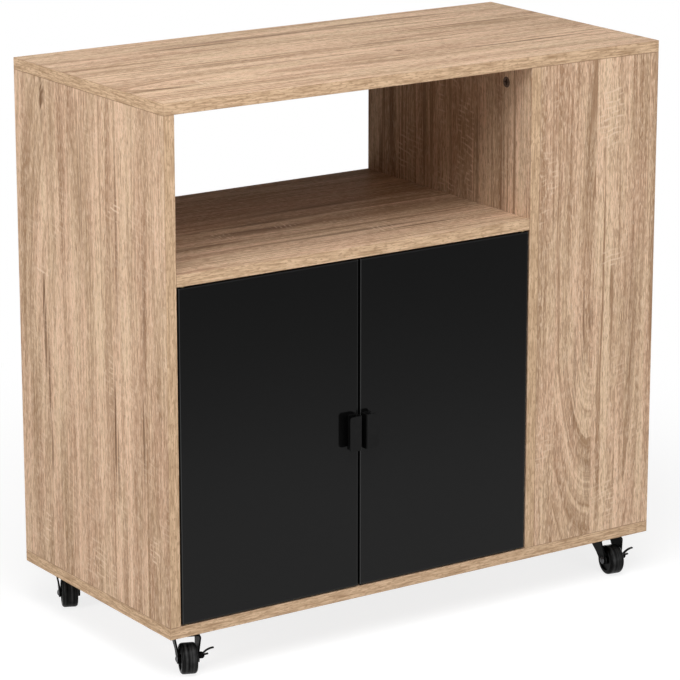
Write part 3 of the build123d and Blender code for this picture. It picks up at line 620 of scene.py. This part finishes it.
# Doors: how dark they are low and high, as a painted shade that darkens them towards the top, and the
# painted highlight lines beside their edges in millimetres
DOOR_PAINTED_SHADE_LOW = 0.0050
DOOR_PAINTED_SHADE_HIGH = 0.0012
DOOR_CLOUD_SHARE = 0.16
DOOR_SMOOTH = 0.09
DOOR_ROUGH = 0.13
DOOR_SPECULAR = 0.153
EDGE_HIGHLIGHT_GREY = 0.034
EDGE_HIGHLIGHT_START = 0.4
EDGE_HIGHLIGHT_FULL = 0.8
EDGE_HIGHLIGHT_FADE = 1.4
EDGE_HIGHLIGHT_END = 2.0
EDGE_HIGHLIGHT_LEFT = 1.0
EDGE_HIGHLIGHT_ELSEWHERE = 0.3

# Wheels: greys, with the lighter grey of the painted highlight in the rings, and the width of the rings
# in millimetres
WHEEL_DARK = 0.0018
WHEEL_RING_HIGHLIGHT = 0.045
WHEEL_RING = 3.2
WHEEL_SMOOTH = 0.28
WHEEL_ROUGH = 0.40
WHEEL_SPECULAR = 0.05

# Coats: name, grey, roughness and specular level
PULL_COAT = ("black_pull", 0.0042, 0.30, 0.10)
CASTER_COAT = ("black_caster_metal", 0.0028, 0.36, 0.024)

# Plastics: name, colour, roughness and specular level
LEVER_PLASTIC = ("lever_black", grey(0.0065), 0.34, 0.12)
NYLON = ("nylon", (0.68, 0.66, 0.60), 0.45, 0.5)
CATCH_PLASTIC = ("catch_brown", (0.16, 0.085, 0.045), 0.42, 0.5)
FERRITE = ("ferrite", (0.035, 0.033, 0.032), 0.55, 0.5)

# Metals: name, colour and roughness
PLATED_STEEL = ("zinc_plated_steel", (0.64, 0.65, 0.67), 0.26)
BRONZED_STEEL = ("bronzed_steel", (0.035, 0.030, 0.023), 0.50)
DULLED_STEEL = ("dulled_steel", (0.115, 0.115, 0.12), 0.50)
TONED_ZINC = ("toned_zinc", (0.105, 0.060, 0.038), 0.45)
BRASS = ("brass", (0.20, 0.145, 0.075), 0.55)


def black_board(door):
    """Satin black melamine, with the faint pearl texture of a pressed face, a painted shade that
    darkens it towards the top, and painted highlights beside its edges.
    """
    s = Shader(f"{door}_black_melamine")
    place = s.coordinate("Object")
    pearl = s.noise(place, detail=2.0, scale=PEARL)
    cloud = s.noise(place, detail=3.0, scale=DOOR_CLOUD)
    low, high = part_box(door)
    across, _, height = s.split(place)
    span = {"Value": height, "From Min": low[2], "From Max": high[2]}
    share = s.total(s.node("MapRange", span).outputs[0], s.about(cloud, DOOR_CLOUD_SHARE))
    # Painted shade: the grey goes from lighter at the bottom to darker at the top, with a little random
    # cloud
    face = s.ramp(share, ((0.0, grey(DOOR_PAINTED_SHADE_LOW)), (1.0, grey(DOOR_PAINTED_SHADE_HIGH))))

    # Painted highlight: lighter lines just inside each edge, strongest along the left edge
    def painted_edge_highlight(inset, amount):
        fade = s.rise(inset, EDGE_HIGHLIGHT_FADE, EDGE_HIGHLIGHT_END, amount, 0.0)
        return s.math("MULTIPLY", s.rise(inset, EDGE_HIGHLIGHT_START, EDGE_HIGHLIGHT_FULL), fade)

    edge = s.total(
        painted_edge_highlight(s.scaled(across, MM, -low[0] * MM), EDGE_HIGHLIGHT_LEFT),
        painted_edge_highlight(s.scaled(across, -MM, high[0] * MM), EDGE_HIGHLIGHT_ELSEWHERE),
        painted_edge_highlight(s.scaled(height, MM, -low[2] * MM), EDGE_HIGHLIGHT_ELSEWHERE),
        painted_edge_highlight(s.scaled(height, -MM, high[2] * MM), EDGE_HIGHLIGHT_ELSEWHERE),
    )
    return s.finish(
        base_color=s.mix(edge, face, grey(EDGE_HIGHLIGHT_GREY)),
        roughness=s.rise(pearl, NOISE_LOW, NOISE_HIGH, DOOR_SMOOTH, DOOR_ROUGH),
        specular_level=DOOR_SPECULAR,
        normal=s.bump(pearl, depth=0.000004, strength=0.2),
    )


def coated_metal(name, level, roughness, gloss):
    """Black coated sheet metal with a fine orange-peel surface."""
    s = Shader(name)
    place = s.coordinate("Object")
    peel = s.noise(place, detail=2.0, scale=COAT_PEEL)
    dust = s.noise(place, detail=4.0, scale=COAT_DUST)
    clean, dusty = grey(level * 0.8), grey(level * 1.25)
    rougher = roughness + 0.08
    return s.finish(
        base_color=s.ramp(dust, ((0.35, clean), (NOISE_HIGH, dusty))),
        roughness=s.rise(peel, NOISE_LOW, NOISE_HIGH, roughness, rougher),
        specular_level=gloss,
        normal=s.bump(peel, depth=0.00003, strength=0.4),
    )


def moulded(name, colour, roughness, gloss):
    """Moulded plastic: an even colour with faint flow marks and handling scuffs."""
    s = Shader(name)
    place = s.coordinate("Object")
    flow = s.noise(place, detail=3.0, scale=MOULD_FLOW)
    grain = s.noise(place, detail=2.0, scale=MOULD_GRAIN)
    darker = tuple(0.8 * c for c in colour)
    lighter = tuple(1.2 * c for c in colour)
    scuffed = roughness + 0.08
    return s.finish(
        base_color=s.ramp(flow, ((NOISE_LOW, darker), (NOISE_HIGH, lighter))),
        roughness=s.rise(flow, 0.35, NOISE_HIGH, roughness, scuffed),
        specular_level=gloss,
        normal=s.bump(grain, depth=0.00001, strength=0.3),
    )


def wheel_black(end):
    """Black moulded wheel, with fine ring grooves round it, painted highlight streaks along those rings
    on the tread, and soft scuffs.
    """
    axle = next(joint["axis"] for joint in frame["joints"] if joint["name"] == f"{end}_wheel_roll")
    s = Shader(f"{end}_wheel_black")
    place = s.coordinate("Object")
    on_axle = s.vector_math("DOT_PRODUCT", place, axle, "Value")
    facing = s.vector_math("DOT_PRODUCT", s.coordinate("Normal"), axle, "Value")
    tread = s.rise(s.math("ABSOLUTE", facing), 0.25, 0.75, 1.0, 0.0)
    ring = s.noise(s.vector(s.scaled(on_axle, MM / WHEEL_RING)), detail=3.0)
    scuff = s.noise(place, detail=4.0, scale=WHEEL_SCUFF)
    # Painted highlight: lighter grey in the rings on the tread, broken up by the scuffs
    ring_highlight = s.math("MULTIPLY", s.rise(ring, 0.40, 0.66), s.rise(scuff, 0.30, 0.60, 0.6, 1.0))
    return s.finish(
        base_color=s.mix(s.math("MULTIPLY", ring_highlight, tread), grey(WHEEL_DARK), grey(WHEEL_RING_HIGHLIGHT)),
        roughness=s.rise(scuff, NOISE_LOW, NOISE_HIGH, WHEEL_SMOOTH, WHEEL_ROUGH),
        specular_level=WHEEL_SPECULAR,
        normal=s.bump(ring, depth=0.0002, strength=0.6),
    )


def plated(name, colour, roughness):
    """Plated or cast metal with a slightly uneven sheen."""
    s = Shader(name)
    place = s.coordinate("Object")
    cloud = s.noise(place, detail=4.0, scale=METAL_CLOUD)
    fine = s.noise(place, detail=2.0, scale=METAL_GRAIN)
    darker = tuple(0.78 * c for c in colour)
    rougher = roughness + 0.12
    return s.finish(
        base_color=s.ramp(cloud, ((NOISE_LOW, darker), (0.65, colour))),
        metallic=1.0,
        roughness=s.rise(cloud, NOISE_LOW, NOISE_HIGH, rougher, roughness),
        normal=s.bump(fine, depth=0.00001, strength=0.3),
    )


def raw_beech():
    """Turned beech with short flecks along the dowel."""
    s = Shader("raw_beech")
    fleck = s.noise(s.coordinate("Object"), detail=3.0, scale=BEECH_FLECK)
    colour = s.ramp(fleck, ((0.35, BEECH_DARK), (0.65, BEECH_LIGHT)))
    return s.finish(base_color=colour, roughness=0.7, normal=s.bump(fleck, depth=0.00005, strength=0.5))


doors = ("left", "right")
braked = ("front_left", "front_right")
ends = (*braked, "rear_left", "rear_right")
door_steel = ("pull_screws", "strike_plate", "strike_screw")

for side in doors:
    dress(black_board(f"{side}_door_panel"), f"{side}_door_panel")
dress(coated_metal(*PULL_COAT), *[f"{side}_pull" for side in doors])
caster_black = coated_metal(*CASTER_COAT)
dress(caster_black, *[f"{end}_{piece}" for end in ends for piece in ("fork", "caster_plate")])
dress(caster_black, *[f"{end}_brake_pin" for end in braked])
for end in ends:
    dress(wheel_black(end), f"{end}_wheel")
dress(moulded(*LEVER_PLASTIC), *[f"{end}_brake_lever" for end in braked])
steel = plated(*PLATED_STEEL)
dress(steel, "cam_bolts", "shelf_pins", "catch_screws", "caster_kingpins", "caster_screws")
dress(steel, *[f"{side}_{piece}" for side in doors for piece in door_steel])
dress(plated(*BRONZED_STEEL), *[f"{side}_pivot_pins" for side in doors])
dress(plated(*DULLED_STEEL), *[f"{end}_axle" for end in ends])
dress(plated(*TONED_ZINC), "cam_locks")
dress(plated(*BRASS), "pivot_bushes")
dress(raw_beech(), "wood_dowels")
dress(moulded(*NYLON), "swivel_bearings")
dress(moulded(*CATCH_PLASTIC), "door_catches")
dress(moulded(*FERRITE), "catch_magnets")


# Stage: a white floor that keeps a soft shadow, and a white backdrop


def floor_material():
    """White to the camera, a little darker far away in reflections, with the shadow kept near."""
    s = Shader("white_floor")
    path = s.node("LightPath", {}).outputs
    white = (*grey(1.0), 1.0)
    seen = s.total(path["Is Camera Ray"], path["Is Glossy Ray"], path["Is Transmission Ray"])
    plain = s.node("BsdfDiffuse", {"Color": (*grey(FLOOR_GREY), 1.0)}).outputs[0]
    catch = s.node("BsdfDiffuse", {"Color": (*grey(SHADOW_GREY), 1.0)}).outputs[0]
    glow = s.node("Emission", {"Color": white, "Strength": SHADOW_GLOW}).outputs[0]
    near = s.node("AddShader", {0: catch, 1: glow}).outputs[0]
    reach = s.vector_math("LENGTH", s.coordinate("Object"), output="Value")
    fade = s.rise(reach, FADE_NEAR, FADE_FAR, 0.0, FADE_DEPTH)
    level = s.math("SUBTRACT", 1.0, s.math("MULTIPLY", path["Is Glossy Ray"], fade))
    far = s.node("Emission", {"Color": white, "Strength": level}).outputs[0]
    away = s.rise(reach, SHADOW_NEAR, SHADOW_FAR)
    shown = s.node("MixShader", {0: away, 1: near, 2: far}).outputs[0]
    surface = s.node("MixShader", {0: s.math("MINIMUM", seen, 1.0), 1: plain, 2: shown})
    s.node("OutputMaterial", {"Surface": surface.outputs[0]})
    return s.material


def make_floor():
    half = FLOOR_HALF
    corners = [(-half, -half, 0.0), (half, -half, 0.0), (half, half, 0.0), (-half, half, 0.0)]
    mesh = bpy.data.meshes.new("floor")
    mesh.from_pydata(corners, [], [(0, 1, 2, 3)])
    mesh.materials.append(floor_material())
    floor = bpy.data.objects.new("floor", mesh)
    bpy.context.scene.collection.objects.link(floor)


def make_world():
    """White to the camera and in reflections, and a weak fill light otherwise."""
    world = bpy.data.worlds.new("studio")
    world.use_nodes = True
    tree = world.node_tree
    tree.nodes.clear()
    path = tree.nodes.new("ShaderNodeLightPath")
    seen = tree.nodes.new("ShaderNodeMath")
    seen.operation = "ADD"
    tree.links.new(path.outputs["Is Camera Ray"], seen.inputs[0])
    tree.links.new(path.outputs["Is Glossy Ray"], seen.inputs[1])
    both = tree.nodes.new("ShaderNodeMath")
    both.operation = "ADD"
    both.use_clamp = True
    tree.links.new(seen.outputs[0], both.inputs[0])
    tree.links.new(path.outputs["Is Transmission Ray"], both.inputs[1])
    strength = tree.nodes.new("ShaderNodeMapRange")
    strength.inputs["To Min"].default_value = WORLD_FILL
    strength.inputs["To Max"].default_value = 1.0
    tree.links.new(both.outputs[0], strength.inputs["Value"])
    background = tree.nodes.new("ShaderNodeBackground")
    background.inputs["Color"].default_value = (1.0, 1.0, 1.0, 1.0)
    tree.links.new(strength.outputs[0], background.inputs["Strength"])
    output = tree.nodes.new("ShaderNodeOutputWorld")
    tree.links.new(background.outputs[0], output.inputs["Surface"])
    bpy.context.scene.world = world


def softbox(name, azimuth, elevation, distance, width, height, power):
    """An area lamp that looks at the object's middle from that direction."""
    turn, rise = math.radians(azimuth), math.radians(elevation)
    level = math.cos(rise)
    away = Vector((math.sin(turn) * level, -math.cos(turn) * level, math.sin(rise)))
    data = bpy.data.lights.new(name, "AREA")
    data.shape = "RECTANGLE"
    data.size, data.size_y = width, height
    data.energy = power
    lamp = bpy.data.objects.new(name, data)
    lamp.location = (cad_low + cad_high) / 2 + away * distance
    lamp.rotation_mode = "QUATERNION"
    lamp.rotation_quaternion = (-away).to_track_quat("-Z", "Y")
    bpy.context.scene.collection.objects.link(lamp)


def make_camera():
    turn, down = math.radians(CAMERA_AZIMUTH), math.radians(CAMERA_DOWN)
    level = math.cos(down)
    forward = Vector((math.sin(turn) * level, math.cos(turn) * level, -math.sin(down)))
    data = bpy.data.cameras.new("camera")
    data.lens = CAMERA_LENS
    data.sensor_width = CAMERA_SENSOR
    camera = bpy.data.objects.new("camera", data)
    camera.location = CAMERA_PLACE
    camera.rotation_mode = "QUATERNION"
    camera.rotation_quaternion = forward.to_track_quat("-Z", "Y")
    bpy.context.scene.collection.objects.link(camera)
    bpy.context.scene.camera = camera


make_floor()
make_world()
for lamp in LAMPS:
    softbox(*lamp)
make_camera()
bpy.context.scene.view_settings.view_transform = "Standard"
